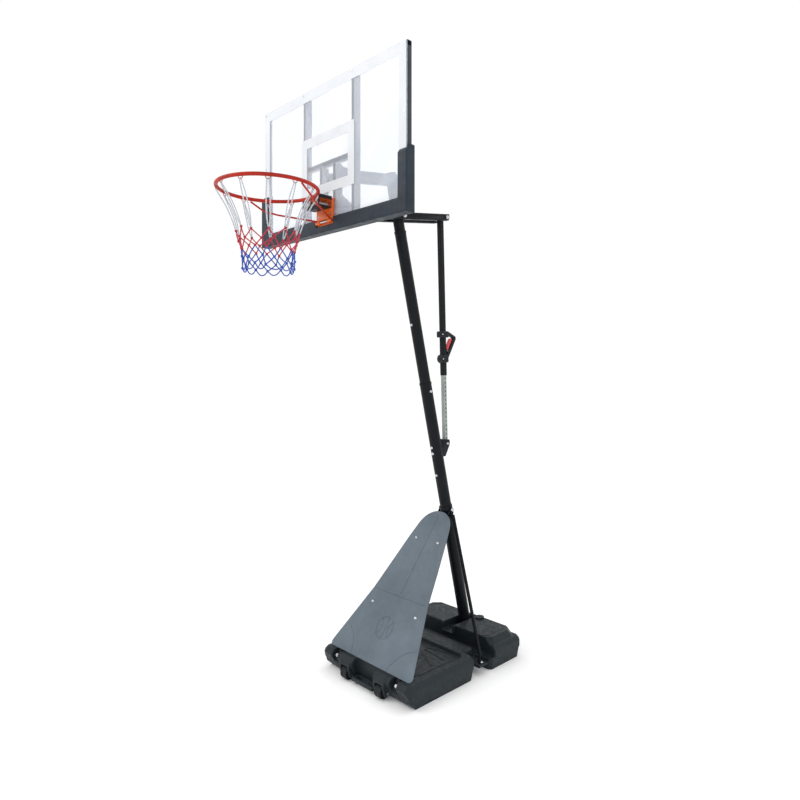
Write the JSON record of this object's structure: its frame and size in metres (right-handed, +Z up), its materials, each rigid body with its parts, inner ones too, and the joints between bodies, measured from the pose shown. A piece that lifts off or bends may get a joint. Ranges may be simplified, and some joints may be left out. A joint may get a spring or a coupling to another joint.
{
  "type": "portable basketball hoop",
  "caption": "Portable basketball hoop: wheeled, water-filled base, leaning braced pole, padded clear backboard on parallel lift arms, sprung rim with net.",
  "frame": {"origin": "on the floor, at the middle of the base, in the plane of symmetry", "axes": "+Z up, -Y the way the board faces, +X to the right of someone who stands in front of the hoop and faces it"},
  "size_m": [1.252, 1.7359, 3.203],
  "materials": {
    "black_steel": "satin black powder coat",
    "zinc_bolts": "bright zinc",
    "base_plastic": "fine moulded texture",
    "black_plastic": "moulded, satin",
    "ballast": "water filling, hidden",
    "wheel_plastic": "moulded, satin",
    "shield_plastic": "fine moulded texture, blue grey",
    "silver_steel": "silver grey",
    "red_plastic": "glossy red",
    "clear_board": "clear, polished",
    "white_print": "screen print",
    "frame_steel": "grey powder coat",
    "pad_foam": "self-skinned foam",
    "rim_orange": "orange powder coat",
    "spring_steel": "zinc-plated",
    "net_fabric": "braided cord, white, red and blue"
  },
  "bodies": {
    "base": {"base_tank": "base_plastic", "water_ballast": "ballast", "pull_handle": "base_plastic", "wheel_axles": "zinc_bolts", "pole_lower": "black_steel", "pole_middle": "black_steel", "pole_upper": "black_steel", "pole_cap": "black_plastic", "pole_bolts": "zinc_bolts", "arm_pivot_bolts": "zinc_bolts", "pole_spacers": "zinc_bolts", "strut_collar": "black_steel", "collar_bolt": "zinc_bolts", "front_strut_left": "black_steel", "front_strut_right": "black_steel", "rear_strut_left": "black_steel", "rear_strut_right": "black_steel", "strut_foot_bolts": "zinc_bolts", "shield_panel": "shield_plastic", "shield_bolts": "zinc_bolts", "lift_foot_bracket": "black_steel", "lift_foot_bolt": "zinc_bolts"},
    "arms": {"lower_arm_left": "black_steel", "lower_arm_right": "black_steel", "lift_top_bolt": "zinc_bolts", "lift_spacers": "zinc_bolts"},
    "upper_arms": {"upper_arm_left": "black_steel", "upper_arm_right": "black_steel"},
    "board": {"board_panel": "clear_board", "border_print": "white_print", "square_print": "white_print", "frame_rails": "frame_steel", "frame_side_rails": "frame_steel", "frame_uprights": "frame_steel", "frame_cross_bar": "frame_steel", "bracket_uprights": "frame_steel", "bracket_side_plates": "frame_steel", "board_pivot_bolts": "zinc_bolts", "board_screws": "zinc_bolts", "edge_pad": "pad_foam", "rim_mount_plate": "rim_orange", "rim_mount_bolts": "zinc_bolts", "rim_hinge_pin": "zinc_bolts", "spring_bolts": "zinc_bolts", "rim_springs": "spring_steel"},
    "rim": {"rim_ring": "rim_orange", "rim_braces": "rim_orange", "net_hooks": "rim_orange", "rim_bracket": "rim_orange", "spring_cover": "black_plastic", "net": "net_fabric"},
    "lift_outer": {"lift_outer_tube": "black_steel", "lift_handle": "black_plastic", "trigger_pin": "zinc_bolts", "handle_screws": "zinc_bolts"},
    "lift_inner": {"lift_inner_tube": "silver_steel"},
    "trigger": {"trigger": "red_plastic"},
    "wheel_left": {"wheel_left": "wheel_plastic"},
    "wheel_right": {"wheel_right": "wheel_plastic"},
    "cap": {"filler_cap": "base_plastic"}
  },
  "joints": [
    {"name": "arm_swing", "type": "hinge", "parent": "base", "child": "arms", "pos_m": [0, -0.236, 2.59], "axis": [-1, 0, 0], "range_deg": [-9.87, 48.13]},
    {"name": "upper_arm_swing", "type": "hinge", "parent": "base", "child": "upper_arms", "pos_m": [0, -0.2805, 2.79], "axis": [-1, 0, 0], "range_deg": [-9.97, 48.23]},
    {"name": "board_tilt", "type": "hinge", "parent": "arms", "child": "board", "pos_m": [0, -0.5915, 2.539], "axis": [-1, 0, 0], "range_deg": [-48.23, 9.97]},
    {"name": "lift_swing", "type": "hinge", "parent": "arms", "child": "lift_outer", "pos_m": [0, 0.107, 2.639], "axis": [-1, 0, 0], "range_deg": [-51.46, 10.71]},
    {"name": "lift_slide", "type": "slide", "parent": "lift_outer", "child": "lift_inner", "axis": [0, -0.0314, 0.9995], "range_m": [-0.0572, 0.2748]},
    {"name": "rim_breakaway", "type": "hinge", "parent": "board", "child": "rim", "pos_m": [0, -0.738, 2.48], "axis": [1, 0, 0], "range_deg": [0, 12], "stiffness_Nm_per_rad": 250, "springref_deg": -25.78, "deforming": ["rim_springs"]},
    {"name": "trigger_press", "type": "hinge", "parent": "lift_outer", "child": "trigger", "pos_m": [0, 0.15817, 1.83921], "axis": [-1, 0, 0], "range_deg": [0, 6], "stiffness_Nm_per_rad": 0.4, "springref_deg": -17.19},
    {"name": "wheel_left_spin", "type": "hinge", "parent": "base", "child": "wheel_left", "pos_m": [0.147, -0.476, 0.039], "axis": [1, 0, 0], "continuous": true},
    {"name": "wheel_right_spin", "type": "hinge", "parent": "base", "child": "wheel_right", "pos_m": [-0.147, -0.476, 0.039], "axis": [1, 0, 0], "continuous": true},
    {"name": "cap_turn", "type": "hinge", "parent": "base", "child": "cap", "pos_m": [0.082, 0.376, 0.165], "axis": [0, 0, 1], "continuous": true}
  ],
  "couplings": [
    {"joint": "upper_arm_swing", "follows": "arm_swing", "ratio": 1},
    {"joint": "board_tilt", "follows": "arm_swing", "ratio": -1},
    {"joint": "lift_swing", "follows": "arm_swing", "ratio": -1.065},
    {"joint": "lift_slide", "follows": "arm_swing", "m_per_rad": 0.326}
  ]
}
